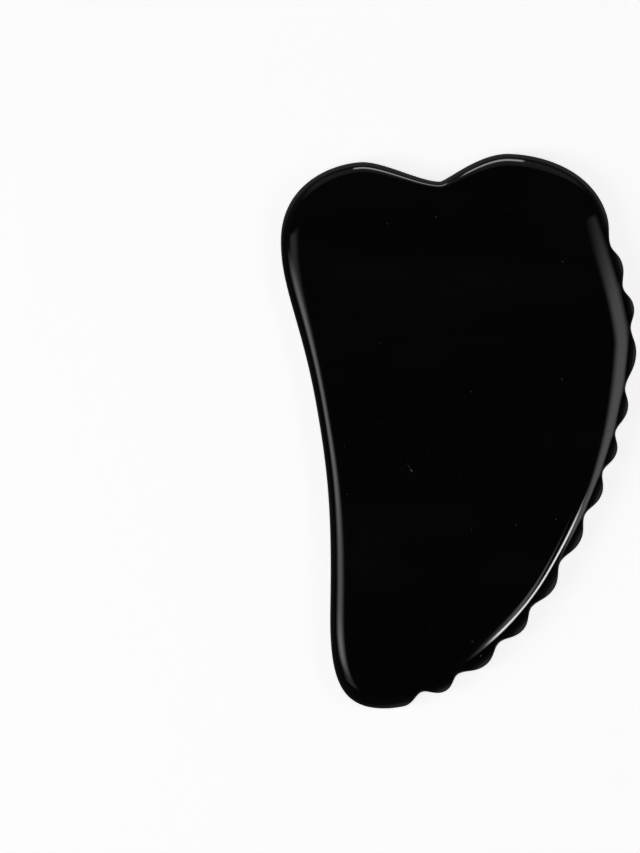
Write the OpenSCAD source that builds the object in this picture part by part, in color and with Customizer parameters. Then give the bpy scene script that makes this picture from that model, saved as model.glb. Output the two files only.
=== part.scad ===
// Gua sha massage board: one piece of polished obsidian with a heart-shaped end, a hollow long
// side, a rounded toe and a comb of scalloped teeth along the other long side.
// The board lies flat, with its length along Y, the heart end at +Y and the comb at +X.
// The origin is the middle of the face that it rests on. Millimetres.

/* [Board] */
// Length, from the higher lobe to the end of the toe
board_length = 100; // [85:1:120]
// Width, from the left lobe to the widest tooth of the comb
board_width = 64; // [54:1:77]
// Thickness between the two flat faces
board_thickness = 6.5; // [5:0.5:8]

/* [Edges] */
// How far the full-height rounding of the thick sides reaches in from the edge
round_reach = 3.4; // [2.5:0.1:4]
// How far the comb's bevel reaches in from the tips of the teeth, at its widest
bevel_reach = 6.4; // [5:0.1:7]
// Thickness that the bevel leads down to at the line of the tips
tip_thickness = 3.7; // [2:0.1:4.4]
// How far the rounding of the tips reaches in
tip_reach = 1.5; // [0.8:0.1:1.6]
// How full the rounding is: 2 is an ellipse, and more is squarer
fullness = 2.4; // [2:0.1:3]

/* [Comb] */
// Depth of the scallops next to the toe
depth_at_toe = 1.6; // [0.8:0.1:1.8]
// Depth of the scallops next to the heart end
depth_at_heart = 1; // [0.6:0.1:1.6]
// Place of a tooth's tip, as a share of the way from its toe side notch to its heart side notch
tip_share = 0.53; // [0.5:0.01:0.6]
// How much tighter the notches curve than the tips, as a share of the depth
notch_tightness = 0.08; // [0:0.02:0.12]

/* [Detail] */
// Spacing of the points along the plain edge
plain_step = 1.7; // [1.5:0.1:3]
// Spacing of the points along the comb
comb_step = 0.65; // [0.6:0.05:1]
// Steps from the edge to the flat face
reach_steps = 5; // [4:1:7]

/* [Hidden] */

// The outline runs anticlockwise through these places, on a board of 100 by 64. Each row gives
// x, y, the heading of the edge there in degrees, and how far the edge holds that heading
// before and after the place, which are the arms of a Bezier curve. The last value is the
// reach of the edge's rounding or bevel there, as a share of round_reach or bevel_reach.
drawn_size = [64, 100];
PLACES = [
    [ -3.4,  44.8, 180,  1.2,  3.5, 0.45],   // cleft of the heart
    [-17.7,  48.3, 184,  4,    6,   0.87],   // top of the left lobe
    [-32,    34.4, 269,  9.5,  8.5, 1.25],   // left shoulder
    [-25.6,   4.4, 280, 15.5, 13,   0.72],   // hollow side
    [-23.1, -32.2, 269, 16.5, 12.5, 0.96],   // straight of the toe
    [-13.4, -50.2,   0,  8,    9.5, 1   ],   // end of the toe
    [ 17.9, -27.5,  60, 15.5, 14.5, 0.63],   // middle of the comb
    [ 32.2,  14.9,  85, 17.5,  5.5, 1.04],   // widest place
    [ 26.7,  39,   108, 14.5,  7.5, 1   ],   // right shoulder
    [  9.2,  49.8, 178,  7.5,  5.5, 1.14]    // top of the right lobe
];
toe_place = 5;
shoulder_place = 8;

// The comb starts a little past the end of the toe and ends at the right shoulder. Its teeth
// are ground by hand, so their widths differ. Half a scallop leads in and out at its ends.
comb_lead = 3.5;
lead_in = 4;
TOOTH_WIDTHS = [7.5, 9.5, 8.75, 9.75, 9.5, 8.5, 7.5, 8.25, 10.75, 7.5, 8];
lead_out = 5.5;

// The thick edge turns into the comb's bevel from the first distance before the comb's start
// to the second distance after it
bevel_from = 16;
bevel_full_by = 14;
// Past the comb's other end the bevel runs on for the first distance, and it is gone by the second
bevel_runs_on = 3;
bevel_gone_by = 18;

// The rough stone stands this far above each flat face before the faces are lapped, and it is
// level for this width inside the rounding of the thick sides
lapping = 0.05;
level_strip = 0.6;
crest = board_thickness / 2 + lapping;

// The arris where a scallop cuts the edge is rounded off by this much, and by this share of
// the scallop's depth
least_arris = 0.05;
arris_share = 0.25;

// The turns of the arris at which points are placed, and how closely the rings after it crowd
// towards the edge: 1 spaces them evenly
ARRIS_TURNS = [0, 45, 90];
crowding = 1.9;

// ---- Blending ----

function ease(t) = t * t * (3 - 2 * t);

function mix(a, b, share) = a + (b - a) * share;

// ---- Outline ----

function heading(place) = [cos(place[2]), sin(place[2])];

function to_size(p) = [p.x * board_width / drawn_size.x, p.y * board_length / drawn_size.y];

function bezier(p, t) =
    pow(1 - t, 3) * p[0] + 3 * t * pow(1 - t, 2) * p[1] + 3 * t * t * (1 - t) * p[2] + pow(t, 3) * p[3];

function next_place(k) = PLACES[(k + 1) % len(PLACES)];

function steps_after(k) =
    let (
        a = PLACES[k],
        b = next_place(k),
        spacing = (k >= toe_place && k < shoulder_place) ? comb_step : plain_step
    )
    ceil(norm([b.x - a.x, b.y - a.y]) / spacing);

// The stretch of edge from one place to the next, without its last point
function stretch(k) =
    let (
        a = PLACES[k],
        b = next_place(k),
        start = [a.x, a.y],
        end = [b.x, b.y],
        arms = [start, start + a[4] * heading(a), end - b[3] * heading(b), end],
        steps = steps_after(k)
    )
    [for (i = [0 : steps - 1]) to_size(bezier(arms, i / steps))];

edge_line = [for (k = [0 : len(PLACES) - 1]) each stretch(k)];
count = len(edge_line);

// The share of the full reach at each point
edge_share = [
    for (k = [0 : len(PLACES) - 1], i = [0 : steps_after(k) - 1])
        mix(PLACES[k][5], next_place(k)[5], ease(i / steps_after(k)))
];

// Number of points before a place, and so the index of the place's own point
function index_of(place) = place == 0 ? 0 : steps_after(place - 1) + index_of(place - 1);

// Distance along the edge from the cleft to each point
travel = [
    for (i = 0, s = 0; i < count; s = s + norm(edge_line[(i + 1) % count] - edge_line[i]), i = i + 1) s
];

function outward(i) =
    let (along = edge_line[(i + 1) % count] - edge_line[(i + count - 1) % count])
    [along.y, -along.x] / norm(along);

// ---- Comb ----

comb_start = travel[index_of(toe_place)] + comb_lead;
comb_end = travel[index_of(shoulder_place)];

// The ways from tip to notch and from notch to tip, one after the other
swings = [
    lead_in,
    for (w = TOOTH_WIDTHS) each [w * tip_share, w * (1 - tip_share)],
    lead_out
];

function sum_to(list, n) = n <= 0 ? 0 : list[n - 1] + sum_to(list, n - 1);

swing_scale = (comb_end - comb_start) / sum_to(swings, len(swings));

// Each swing takes the wave half a turn on: 0 and 360 are tips, and 180 is a notch
turn_table = [
    for (k = [0 : len(swings)]) [comb_start + swing_scale * sum_to(swings, k), 180 * k]
];

// How deep the scallops cut in from the line of the tips
function scallop(s) =
    let (
        turn = lookup(s, turn_table),
        depth = lookup(s, [[comb_start, depth_at_toe], [comb_end, depth_at_heart]])
    )
    depth * ((1 - cos(turn)) / 2 - notch_tightness * pow(sin(turn), 2));

// ---- Edge ----

// 0 on the thick sides and 1 on the comb
function comb_share(s) =
    ease(lookup(s, [
        [comb_start - bevel_from, 0],
        [comb_start + bevel_full_by, 1],
        [comb_end + bevel_runs_on, 1],
        [comb_end + bevel_gone_by, 0]
    ]));

// How far in the edge's rounding ends, and how far in the stone has its full height
function rounding_reach(i, share) = mix(round_reach * edge_share[i], tip_reach, share);
function full_reach(i, share) =
    mix(round_reach * edge_share[i] + level_strip, bevel_reach * edge_share[i], share);

// Half the thickness of the stone at a distance in from the line of the tips, before the
// scallops are cut: the bevel's height times the rise of the rounding
function edge_height(i, share, inset) =
    let (
        to_crest = 1 - inset / full_reach(i, share),
        bevel = crest - (crest - tip_thickness / 2) * share * pow(to_crest, 2),
        to_top = max(0, 1 - inset / rounding_reach(i, share))
    )
    bevel * pow(1 - pow(to_top, fullness), 1 / fullness);

// The rings of points from the middle line of the edge up to the flat face: each row gives
// the turn of the arris and the share of the way from there to the flat face
RINGS = [
    for (turn = ARRIS_TURNS) [turn, 0],
    for (k = [1 : reach_steps]) [90, pow(k / reach_steps, crowding)]
];
last = len(RINGS) - 1;

// A point of the surface: i counts along the edge, and k counts up from the underside's
// flat face, at -last, through the middle line, at 0, to the upper flat face, at last
function surface_point(i, k) =
    let (
        turn = RINGS[abs(k)][0],
        inward = RINGS[abs(k)][1],
        share = comb_share(travel[i]),
        cut = scallop(travel[i]),
        arris = least_arris + arris_share * cut,
        inset = mix(cut + arris * (1 - cos(turn)), full_reach(i, share), inward),
        place = edge_line[i] - inset * outward(i)
    )
    [place.x, place.y, sign(k) * edge_height(i, share, inset) * sin(turn)];

rim = [for (i = [0 : count - 1]) surface_point(i, 0)];
middle = [
    min([for (p = rim) p.x]) + max([for (p = rim) p.x]),
    min([for (p = rim) p.y]) + max([for (p = rim) p.y])
] / 2;

skin_points = [
    for (k = [-last : last], i = [0 : count - 1]) surface_point(i, k),
    [middle.x, middle.y, -crest],
    [middle.x, middle.y, crest]
];
ring_count = 2 * last + 1;
under_centre = ring_count * count;
upper_centre = under_centre + 1;

skin_faces = [
    for (k = [0 : ring_count - 2], i = [0 : count - 1])
        let (
            j = (i + 1) % count,
            low = k * count,
            high = low + count
        )
        each [[low + i, high + i, high + j], [low + i, high + j, low + j]],
    for (i = [0 : count - 1])
        let (
            j = (i + 1) % count,
            top_ring = (ring_count - 1) * count
        )
        each [[under_centre, i, j], [upper_centre, top_ring + j, top_ring + i]]
];

// The whole board: the ground and rounded stone, lapped flat on both faces
module scraper_stone() {
    color("#101113")
    translate([-middle.x, -middle.y, board_thickness / 2])
    intersection() {
        polyhedron(points = skin_points, faces = skin_faces, convexity = 4);
        cube([2 * board_width, 2 * board_length, board_thickness], center = true);
    }
}

scraper_stone();
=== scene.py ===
"""A gua sha board of polished obsidian on a pale studio floor.

The board is drawn in millimetres, at 64 by 100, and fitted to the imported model's box in metres.
"""

import math

import bpy
import numpy as np
from mathutils import Matrix, Vector


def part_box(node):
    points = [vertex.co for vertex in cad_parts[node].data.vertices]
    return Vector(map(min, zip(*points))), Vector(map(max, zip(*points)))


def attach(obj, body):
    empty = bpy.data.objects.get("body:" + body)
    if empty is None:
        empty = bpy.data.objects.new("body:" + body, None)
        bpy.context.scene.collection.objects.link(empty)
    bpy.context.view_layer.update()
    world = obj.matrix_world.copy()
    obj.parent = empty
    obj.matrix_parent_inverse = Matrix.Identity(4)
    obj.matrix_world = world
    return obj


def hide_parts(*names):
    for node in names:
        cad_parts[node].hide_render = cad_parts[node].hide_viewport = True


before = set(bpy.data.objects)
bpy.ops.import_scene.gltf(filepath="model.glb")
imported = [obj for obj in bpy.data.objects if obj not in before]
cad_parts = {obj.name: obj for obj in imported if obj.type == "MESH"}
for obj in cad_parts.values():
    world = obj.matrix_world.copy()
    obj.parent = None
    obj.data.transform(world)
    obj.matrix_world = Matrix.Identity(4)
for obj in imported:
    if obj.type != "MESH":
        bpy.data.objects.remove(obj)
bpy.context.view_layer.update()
node_lo, node_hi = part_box("scraper_stone")
middle = (node_lo + node_hi) / 2

MM = 0.001

# ---- The board's outline ----

# The outline runs anticlockwise through these places. Each row gives x, y, the heading of the
# edge there in degrees, how far the edge holds that heading before and after the place (the
# arms of a Bezier curve), and the reach of the edge's rounding or bevel as a share of its
# full size.
PLACES = (
    (-3.4, 44.8, 180, 1.2, 3.5, 0.45),      # cleft of the heart
    (-17.7, 48.3, 184, 4, 6, 0.87),         # top of the left lobe
    (-32, 34.4, 269, 9.5, 8.5, 1.25),       # left shoulder
    (-25.6, 4.4, 280, 15.5, 13, 0.72),      # hollow side
    (-23.1, -32.2, 269, 16.5, 12.5, 0.96),  # straight of the toe
    (-13.4, -50.2, 0, 8, 9.5, 1),           # end of the toe
    (17.9, -27.5, 60, 15.5, 14.5, 0.63),    # middle of the comb
    (32.2, 14.9, 85, 17.5, 5.5, 1.04),      # widest place
    (26.7, 39, 108, 14.5, 7.5, 1),          # right shoulder
    (9.2, 49.8, 178, 7.5, 5.5, 1.14),       # top of the right lobe
)
TOE_PLACE, SHOULDER_PLACE = 5, 8
PLAIN_STEP, COMB_STEP = 0.3, 0.15

# ---- Its comb and its edge, in millimetres, as in the CAD ----

COMB_LEAD = 3.5
TIP_SHARE = 0.53
LEAD_IN, LEAD_OUT = 4, 5.5
TOOTH_WIDTHS = (7.5, 9.5, 8.75, 9.75, 9.5, 8.5, 7.5, 8.25, 10.75, 7.5, 8)
DEPTH_AT_TOE, DEPTH_AT_HEART = 1.6, 1.0
NOTCH_TIGHTNESS = 0.08

# The thick edge turns into the comb's bevel from the first distance before the comb's start to
# the second after it. Past the comb's end the bevel runs on for the third, and is gone by the
# fourth.
BEVEL_FROM, BEVEL_FULL_BY, BEVEL_RUNS_ON, BEVEL_GONE_BY = 16, 14, 3, 18
ROUND_REACH, LEVEL_STRIP, BEVEL_REACH = 3.4, 0.6, 6.4
TIP_THICKNESS, TIP_REACH, FULLNESS = 3.7, 1.5, 2.4
LEAST_ARRIS, ARRIS_SHARE = 0.05, 0.25

# The rings of points go over the arris, then in to the flat face, crowded towards the edge.
# The last one lies on the flat face, this far in as a share of the full reach.
ARRIS_STEPS, REACH_STEPS, CROWDING = 6, 28, 1.9
FLAT_RING = 1.08

# How far in from a scallop its grinding marks show, as a share of the way to the flat face
GROUND_SHARE = 1 / 6


def ease(t):
    return t * t * (3 - 2 * t)


def mix(a, b, share):
    return a + (b - a) * share


def heading(degrees):
    return np.array([math.cos(math.radians(degrees)), math.sin(math.radians(degrees))])


def outline():
    """The points of the smooth edge, the share of the reach at each, and each place's index."""
    points, shares, starts = [], [], []
    for k, (x, y, degrees, _, arm_after, share) in enumerate(PLACES):
        next_x, next_y, next_degrees, arm_before, _, next_share = PLACES[(k + 1) % len(PLACES)]
        start, end = np.array([x, y], float), np.array([next_x, next_y], float)
        out_arm = start + arm_after * heading(degrees)
        in_arm = end - arm_before * heading(next_degrees)
        step = COMB_STEP if TOE_PLACE <= k < SHOULDER_PLACE else PLAIN_STEP
        n = math.ceil(np.linalg.norm(end - start) / step)
        t = np.arange(n)[:, None] / n
        starts.append(sum(len(p) for p in points))
        points.append(
            (1 - t) ** 3 * start + 3 * t * (1 - t) ** 2 * out_arm
            + 3 * t * t * (1 - t) * in_arm + t ** 3 * end
        )
        shares.append(mix(share, next_share, ease(t[:, 0])))
    return np.vstack(points), np.concatenate(shares), starts


def scallops(travel, comb_start, comb_end):
    """How deep the scallops cut in from the line of the tips."""
    swings = [LEAD_IN]
    for width in TOOTH_WIDTHS:
        swings += [width * TIP_SHARE, width * (1 - TIP_SHARE)]
    swings.append(LEAD_OUT)
    ends = np.concatenate([[0], np.cumsum(swings)])
    ends = comb_start + (comb_end - comb_start) * ends / ends[-1]
    turn = np.interp(travel, ends, math.pi * np.arange(len(ends)))
    depth = np.interp(travel, [comb_start, comb_end], [DEPTH_AT_TOE, DEPTH_AT_HEART])
    return depth * ((1 - np.cos(turn)) / 2 - NOTCH_TIGHTNESS * np.sin(turn) ** 2)


def board_rings(half_thickness):
    """The rings of points from the middle line of the edge up to the flat face, and how much
    of each point is the ground wall of a scallop."""
    line, share_of_reach, starts = outline()
    gaps = np.linalg.norm(np.roll(line, -1, 0) - line, axis=1)
    travel = np.concatenate([[0], np.cumsum(gaps)[:-1]])
    along = np.roll(line, -1, 0) - np.roll(line, 1, 0)
    outward = np.column_stack([along[:, 1], -along[:, 0]]) / np.linalg.norm(along, axis=1)[:, None]

    comb_start = travel[starts[TOE_PLACE]] + COMB_LEAD
    comb_end = travel[starts[SHOULDER_PLACE]]
    cut = scallops(travel, comb_start, comb_end)
    comb = ease(np.interp(
        travel,
        [comb_start - BEVEL_FROM, comb_start + BEVEL_FULL_BY,
         comb_end + BEVEL_RUNS_ON, comb_end + BEVEL_GONE_BY],
        [0, 1, 1, 0],
    ))

    rounding_reach = mix(ROUND_REACH * share_of_reach, TIP_REACH, comb)
    full_reach = mix(ROUND_REACH * share_of_reach + LEVEL_STRIP, BEVEL_REACH * share_of_reach, comb)
    arris = LEAST_ARRIS + ARRIS_SHARE * cut
    bevel_drop = (half_thickness - TIP_THICKNESS / 2) * comb

    quarter_turn = math.pi / 2
    steps = [(quarter_turn * k / ARRIS_STEPS, 0.0) for k in range(ARRIS_STEPS + 1)]
    steps += [(quarter_turn, (k / REACH_STEPS) ** CROWDING) for k in range(1, REACH_STEPS + 1)]
    steps.append((quarter_turn, FLAT_RING))
    rings, ground = [], []
    for turn, inward in steps:
        inset = mix(cut + arris * (1 - math.cos(turn)), full_reach, inward)
        to_crest = np.maximum(0, 1 - inset / full_reach)
        bevel = half_thickness - bevel_drop * to_crest ** 2
        to_top = np.maximum(0, 1 - inset / rounding_reach)
        height = bevel * (1 - to_top ** FULLNESS) ** (1 / FULLNESS) * math.sin(turn)
        rings.append(np.column_stack([line - inset[:, None] * outward, height]))
        ground.append(np.clip(cut / DEPTH_AT_HEART, 0, 1) * max(0.0, 1 - inward / GROUND_SHARE))
    return np.array(rings), np.array(ground)


def board_mesh():
    """The whole board, closed, with its origin under the middle of its box."""
    size = (node_hi - node_lo) / MM
    upper, ground = board_rings(size.z / 2)
    lower = upper[:0:-1] * [1, 1, -1]
    rings = np.concatenate([lower, upper])
    ground = np.concatenate([ground[:0:-1], ground])

    # fitted to the CAD box
    lo, hi = rings.min((0, 1)), rings.max((0, 1))
    fit = np.array(size) / (hi - lo)
    centre = np.array(middle) / MM
    rings = (rings - (lo + hi) / 2) * fit + centre

    face_centres = np.array([[*centre[:2], face.z / MM] for face in (node_lo, node_hi)])
    points = np.vstack([rings.reshape(-1, 3), face_centres]) * MM
    count = rings.shape[1]
    i = np.arange(count)
    j = (i + 1) % count
    top = (len(rings) - 1) * count
    faces = []
    for low in range(0, top, count):
        high = low + count
        faces += np.column_stack([low + i, low + j, high + j, high + i]).tolist()
    under, over = len(points) - 2, len(points) - 1
    faces += np.column_stack([np.full(count, under), j, i]).tolist()
    faces += np.column_stack([np.full(count, over), top + i, top + j]).tolist()

    mesh = bpy.data.meshes.new("obsidian_board")
    mesh.from_pydata(points.tolist(), [], faces)
    mesh.update()
    mesh.shade_smooth()
    ground_of_points = np.concatenate([ground.ravel(), [0, 0]]).astype(np.float32)
    mesh.attributes.new("ground", "FLOAT", "POINT").data.foreach_set("value", ground_of_points)
    return mesh


# ---- Materials ----

class Nodes:
    """Adds nodes to a material, world or light and joins their sockets."""

    def __init__(self, owner):
        owner.use_nodes = True
        self.tree = owner.node_tree

    def feed(self, socket, value):
        """Joins the socket to the value if that is a socket too, and otherwise sets it."""
        if isinstance(value, bpy.types.NodeSocket):
            self.tree.links.new(value, socket)
        else:
            socket.default_value = value

    def add(self, kind, inputs=None, **settings):
        node = self.tree.nodes.new(kind)
        for key, value in settings.items():
            setattr(node, key, value)
        for key, value in (inputs or {}).items():
            self.feed(node.inputs[key], value)
        return node

    def maths(self, operation, *values):
        return self.add("ShaderNodeMath", dict(enumerate(values)), operation=operation).outputs[0]

    def ramp(self, value, low, high, to_low=0.0, to_high=1.0):
        """value moved from low..high to to_low..to_high, with soft ends."""
        return self.add(
            "ShaderNodeMapRange",
            {"Value": value, "From Min": low, "From Max": high,
             "To Min": to_low, "To Max": to_high},
            interpolation_type="SMOOTHSTEP",
        ).outputs["Result"]

    def blend(self, share, a, b):
        """The colour a, turned into the colour b by the share."""
        return self.add("ShaderNodeMix", {0: share, 6: a, 7: b}, data_type="RGBA").outputs[2]

    def noise(self, vector, scale, detail, roughness):
        return self.add(
            "ShaderNodeTexNoise",
            {"Vector": vector, "Scale": scale, "Detail": detail, "Roughness": roughness},
        ).outputs["Fac"]

    def stretched(self, vector, scale, turn=(0.0, 0.0, 0.0)):
        return self.add(
            "ShaderNodeMapping", {"Vector": vector, "Rotation": turn, "Scale": scale},
        ).outputs[0]


def spot(nodes, place, centre, turn, half_width, half_length):
    """1 inside a long oval mark on the upper face, which fades out over its outer two fifths.
    Its measures are in millimetres from the middle of the face, and its turn is in degrees."""
    local = nodes.add("ShaderNodeMapping", {
        "Vector": place,
        "Location": (centre[0] * MM, centre[1] * MM, node_hi.z),
        "Rotation": (0, 0, math.radians(turn)),
        "Scale": (half_width * MM, half_length * MM, MM),
    }, vector_type="TEXTURE").outputs[0]
    off = nodes.add("ShaderNodeVectorMath", {0: local}, operation="LENGTH").outputs["Value"]
    return nodes.ramp(off, 0.6, 1.0, 1.0, 0.0)


DARK_STONE, PALE_STONE = (0.0085, 0.0085, 0.0095, 1), (0.015, 0.0145, 0.0145, 1)
INCLUSION, CRUSHED_STONE = (0.075, 0.073, 0.07, 1), (0.45, 0.45, 0.45, 1)
INCLUSION_CELLS_PER_METRE = 130.0
INCLUSION_SLANT = (3, -5, 0)
STONE_IOR = 1.49
POLISH_ROUGHNESS = (0.028, 0.05)
GROUND_ROUGHNESS, WORN_ROUGHNESS = 0.06, 0.3
WAVE_HEIGHT, GRINDING_HEIGHT = 0.02 * MM, 0.008 * MM


def obsidian():
    material = bpy.data.materials.new("polished_obsidian")
    nodes = Nodes(material)
    surface = nodes.tree.nodes["Principled BSDF"]
    place = nodes.add("ShaderNodeTexCoord").outputs["Object"]

    # flow bands: long faint streaks that lie across the board
    flow = nodes.stretched(place, (16, 62, 240), turn=(0.12, 0.08, math.radians(24)))
    bands = nodes.ramp(nodes.noise(flow, 1.0, 5.0, 0.6), 0.36, 0.68)
    stone = nodes.blend(bands, DARK_STONE, PALE_STONE)

    # tiny inclusions, mostly faint, and not in the same places on the two faces
    depth = nodes.add("ShaderNodeSeparateXYZ", {0: place}).outputs[2]
    slanted = nodes.add(
        "ShaderNodeVectorMath", {0: depth, 1: INCLUSION_SLANT, 2: place}, operation="MULTIPLY_ADD",
    ).outputs[0]
    cells = nodes.add(
        "ShaderNodeTexVoronoi", {"Vector": slanted, "Scale": INCLUSION_CELLS_PER_METRE},
        voronoi_dimensions="2D",
    )
    chosen = nodes.add("ShaderNodeSeparateColor", {"Color": cells.outputs["Color"]})
    radius = nodes.ramp(chosen.outputs[1], 0.2, 1.0, 0.0115, 0.021)
    speck = nodes.maths("LESS_THAN", cells.outputs["Distance"], radius)
    speck = nodes.maths("MULTIPLY", speck, nodes.ramp(chosen.outputs[0], 0.4, 1.0))
    stone = nodes.blend(speck, stone, INCLUSION)

    # a hairline scratch that ends in a nick
    scratch = spot(nodes, place, centre=(-8.99, -6.32), turn=31, half_width=0.05, half_length=0.8)
    nick = spot(nodes, place, centre=(-8.54, -7.07), turn=31, half_width=0.13, half_length=0.25)
    wear = nodes.maths("MAXIMUM", nodes.maths("MULTIPLY", scratch, 0.25), nick)
    nodes.feed(surface.inputs["Base Color"], nodes.blend(wear, stone, CRUSHED_STONE))

    # the polish: cloudy from handling, and duller where the scallops were ground
    ground = nodes.add("ShaderNodeAttribute", attribute_name="ground").outputs["Fac"]
    polish = nodes.ramp(nodes.noise(place, 70.0, 4.0, 0.6), 0.35, 0.75, *POLISH_ROUGHNESS)
    rough = nodes.maths("MULTIPLY_ADD", ground, GROUND_ROUGHNESS, polish)
    rough = nodes.maths("MULTIPLY_ADD", nodes.maths("MAXIMUM", speck, wear), WORN_ROUGHNESS, rough)
    nodes.feed(surface.inputs["Roughness"], rough)
    surface.inputs["IOR"].default_value = STONE_IOR

    # relief: the slow waves that lapping leaves, and the grinding marks on the scallops
    waves = nodes.noise(place, 55.0, 1.0, 0.4)
    relief = nodes.add(
        "ShaderNodeBump", {"Height": waves, "Strength": 1.0, "Distance": WAVE_HEIGHT},
    )
    marks = nodes.noise(nodes.stretched(place, (1600, 1600, 260)), 1.0, 3.0, 0.6)
    relief = nodes.add("ShaderNodeBump", {
        "Height": nodes.maths("MULTIPLY", marks, ground), "Strength": 1.0,
        "Distance": GRINDING_HEIGHT, "Normal": relief.outputs[0],
    })
    nodes.feed(surface.inputs["Normal"], relief.outputs[0])
    return material


def put(name, data):
    thing = bpy.data.objects.new(name, data)
    bpy.context.scene.collection.objects.link(thing)
    return thing


board = put("obsidian_board", board_mesh())
board.data.materials.append(obsidian())
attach(board, "root")
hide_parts("scraper_stone")

# ---- Studio ----

FLOOR_RINGS, FLOOR_RADIUS, FLOOR_GAP = (0.05, 0.1, 0.2, 0.4, 0.8), 1.6, 0.02 * MM
SWEEP_RADIUS, SWEEP_STEPS, WALL_HEIGHT = 0.9, 16, 3.2
POINTS_AROUND = 96


def studio_sweep():
    """A round floor that curves up into a wall."""
    profile = [(r, 0.0) for r in (*FLOOR_RINGS, FLOOR_RADIUS)]
    for k in range(1, SWEEP_STEPS + 1):
        turn = math.pi / 2 * k / SWEEP_STEPS
        profile.append(
            (FLOOR_RADIUS + SWEEP_RADIUS * math.sin(turn), SWEEP_RADIUS * (1 - math.cos(turn)))
        )
    profile.append((FLOOR_RADIUS + SWEEP_RADIUS, WALL_HEIGHT))

    turns = [2 * math.pi * k / POINTS_AROUND for k in range(POINTS_AROUND)]
    points = [(0.0, 0.0, 0.0)]
    points += [(r * math.cos(turn), r * math.sin(turn), z) for r, z in profile for turn in turns]
    pairs = [(k, (k + 1) % POINTS_AROUND) for k in range(POINTS_AROUND)]
    faces = [(0, 1 + i, 1 + j) for i, j in pairs]
    for ring in range(len(profile) - 1):
        low = 1 + ring * POINTS_AROUND
        high = low + POINTS_AROUND
        faces += [(low + i, high + i, high + j, low + j) for i, j in pairs]
    mesh = bpy.data.meshes.new("studio_floor")
    mesh.from_pydata(points, [], faces)
    mesh.shade_smooth()
    return mesh


def pale_paper():
    material = bpy.data.materials.new("pale_paper")
    surface = Nodes(material).tree.nodes["Principled BSDF"]
    for name, value in {
        "Base Color": (0.8, 0.8, 0.8, 1), "Roughness": 0.9, "Specular IOR Level": 0.0,
        "Emission Color": (1, 0.985, 0.992, 1), "Emission Strength": 0.86,
    }.items():
        surface.inputs[name].default_value = value
    return material


floor = put("studio_floor", studio_sweep())
floor.location.z = node_lo.z - FLOOR_GAP
floor.data.materials.append(pale_paper())
floor.visible_glossy = False
floor.visible_diffuse = False


def direction(azimuth, zenith):
    """Azimuth is anticlockwise from +X, and zenith is the angle from straight up, in degrees."""
    a, z = math.radians(azimuth), math.radians(zenith)
    return Vector((math.cos(a) * math.sin(z), math.sin(a) * math.sin(z), math.cos(z)))


def panel(name, width, height, radiance, soft, on_floor=False, taper=0.0, slope=0.0):
    """A flat lamp. soft is the share of its half width and half height over which it fades out.
    From its right end to its left, its height falls by twice the taper. Its light rises by the
    slope from its middle to its right end."""
    light = bpy.data.lights.new(name, "AREA")
    light.shape = "RECTANGLE"
    light.size, light.size_y = width, height
    light.energy = radiance * math.pi * width * height
    nodes = Nodes(light)
    parametric = nodes.add("ShaderNodeNewGeometry").outputs["Parametric"]
    place = nodes.add("ShaderNodeSeparateXYZ", {0: parametric})
    across, along = (
        nodes.maths("MULTIPLY_ADD", place.outputs[axis], 2.0, -1.0) for axis in (0, 1)
    )
    height_share = nodes.maths("MULTIPLY_ADD", across, taper, 1.0 - taper)
    off_middle = (
        nodes.maths("ABSOLUTE", across),
        nodes.maths("DIVIDE", nodes.maths("ABSOLUTE", along), height_share),
    )
    strength = nodes.maths("MULTIPLY_ADD", across, slope, 1.0)
    for off, share in zip(off_middle, soft):
        strength = nodes.maths("MULTIPLY", strength, nodes.ramp(off, 1 - share, 1.0, 1.0, 0.0))
    nodes.feed(nodes.tree.nodes["Emission"].inputs["Strength"], strength)
    lamp = put(name, light)
    lamp.visible_camera = False
    lamp.visible_diffuse = on_floor
    return lamp


def softbox(name, azimuth, zenith, distance=1.0, roll=0.0, shift=(0.0, 0.0), **lamp_settings):
    """A panel that faces the board, then moves by shift in its own plane."""
    lamp = panel(name, **lamp_settings)
    back = direction(azimuth, zenith)
    across = Vector((0, 0, 1)).cross(back).normalized()
    facing = Matrix((across, back.cross(across), back)).transposed().to_4x4()
    lamp.matrix_world = (
        Matrix.Translation(middle + distance * back) @ facing
        @ Matrix.Rotation(math.radians(roll), 4, "Z") @ Matrix.Translation((*shift, 0))
    )


# the grey band on the comb's bevel
softbox(
    "right_softbox", azimuth=-2.5, zenith=32.8, distance=0.55, roll=25, shift=(-0.0284, 0.001),
    width=0.374, height=0.259, radiance=1.76, soft=(0.32, 0.73), on_floor=True,
    taper=0.432, slope=-0.25,
)
# the streak along the hollow side, and the dimmer light round it
softbox(
    "left_softbox", azimuth=191.7, zenith=44.6, distance=0.6, roll=-13.5,
    width=0.22, height=0.717, radiance=2.8, soft=(1.0, 1.0), on_floor=True,
)
softbox(
    "left_fill", azimuth=196.5, zenith=37, distance=0.8, roll=-13.5,
    width=0.507, height=0.715, radiance=0.5, soft=(0.17, 0.88), on_floor=True,
)
# the white line along the comb near the toe, and the faint one beside it
softbox(
    "bright_strip", azimuth=-37.1, zenith=30.7, roll=-14,
    width=0.324, height=0.125, radiance=20, soft=(0.36, 0.7),
)
softbox(
    "faint_strip", azimuth=-45.1, zenith=23.2, roll=69, shift=(-0.02, 0.0),
    width=0.36, height=0.178, radiance=1.7, soft=(0.12, 1.0),
)
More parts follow.
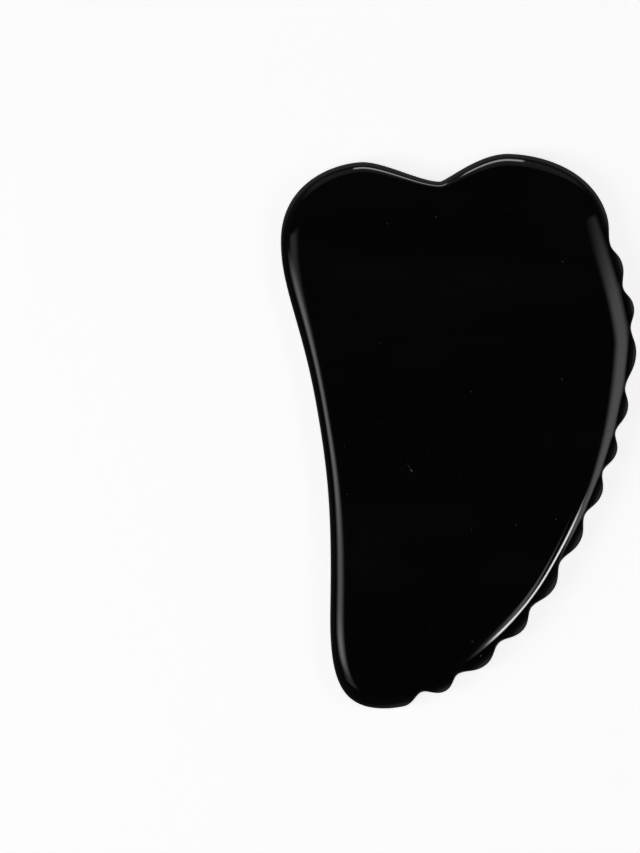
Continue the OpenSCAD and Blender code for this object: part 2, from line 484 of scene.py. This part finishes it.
# the dim light along the heart end
softbox(
    "far_panel", azimuth=90, zenith=55, width=1.9, height=0.84, radiance=0.2, soft=(0.3, 0.4),
)
# the bright lines on the two lobes, from a low strip beyond them that faces along the board
low_strip = panel("low_strip", width=0.0555, height=0.034, radiance=6.5, soft=(0.12, 0.95))
low_strip.location = (-0.0038, 0.119, 0.031)
low_strip.rotation_euler = (math.radians(-90), 0, 0)

# ---- A dim glow round the horizon ----

GLOW = 0.28
TOWARDS_HEART_AND_COMB = (0.77, 0.64, 0)
world = bpy.data.worlds.new("studio")
bpy.context.scene.world = world
sky = Nodes(world)
way = sky.add("ShaderNodeTexCoord").outputs["Generated"]
up = sky.add("ShaderNodeSeparateXYZ", {0: way}).outputs[2]
towards = sky.add(
    "ShaderNodeVectorMath", {0: way, 1: TOWARDS_HEART_AND_COMB}, operation="DOT_PRODUCT",
).outputs["Value"]
glow = GLOW
for share in (
    sky.ramp(up, -0.9, -0.1, 0.35, 1.0),        # dimmer towards straight down
    sky.ramp(up, -0.25, -0.02, 1.0, 0.22),      # much dimmer above the horizon
    sky.ramp(up, 0.3, 0.75, 1.0, 0.0),          # none from overhead
    sky.ramp(towards, -0.75, -0.2, 0.12, 1.0),  # little from beyond the toe and the hollow side
):
    glow = sky.maths("MULTIPLY", glow, share)
background = sky.tree.nodes["Background"]
background.inputs["Color"].default_value = (1, 1, 1, 1)
sky.feed(background.inputs["Strength"], glow)

# ---- Camera: straight down, at the height where one picture holds 115.3 by 153.7 mm ----

CAMERA_PLACE = (-0.02497, 0.00084)
CAMERA_HEIGHT = 1.5
SENSOR = 36.0
PICTURE_HEIGHT = 0.15373
camera = bpy.data.cameras.new("camera")
camera.sensor_width = SENSOR
camera.lens = SENSOR * CAMERA_HEIGHT / PICTURE_HEIGHT
camera.clip_start, camera.clip_end = 0.1, 10.0
camera_object = put("camera", camera)
camera_object.location = middle + Vector((*CAMERA_PLACE, CAMERA_HEIGHT))
bpy.context.scene.camera = camera_object
bpy.context.scene.view_settings.view_transform = "Standard"
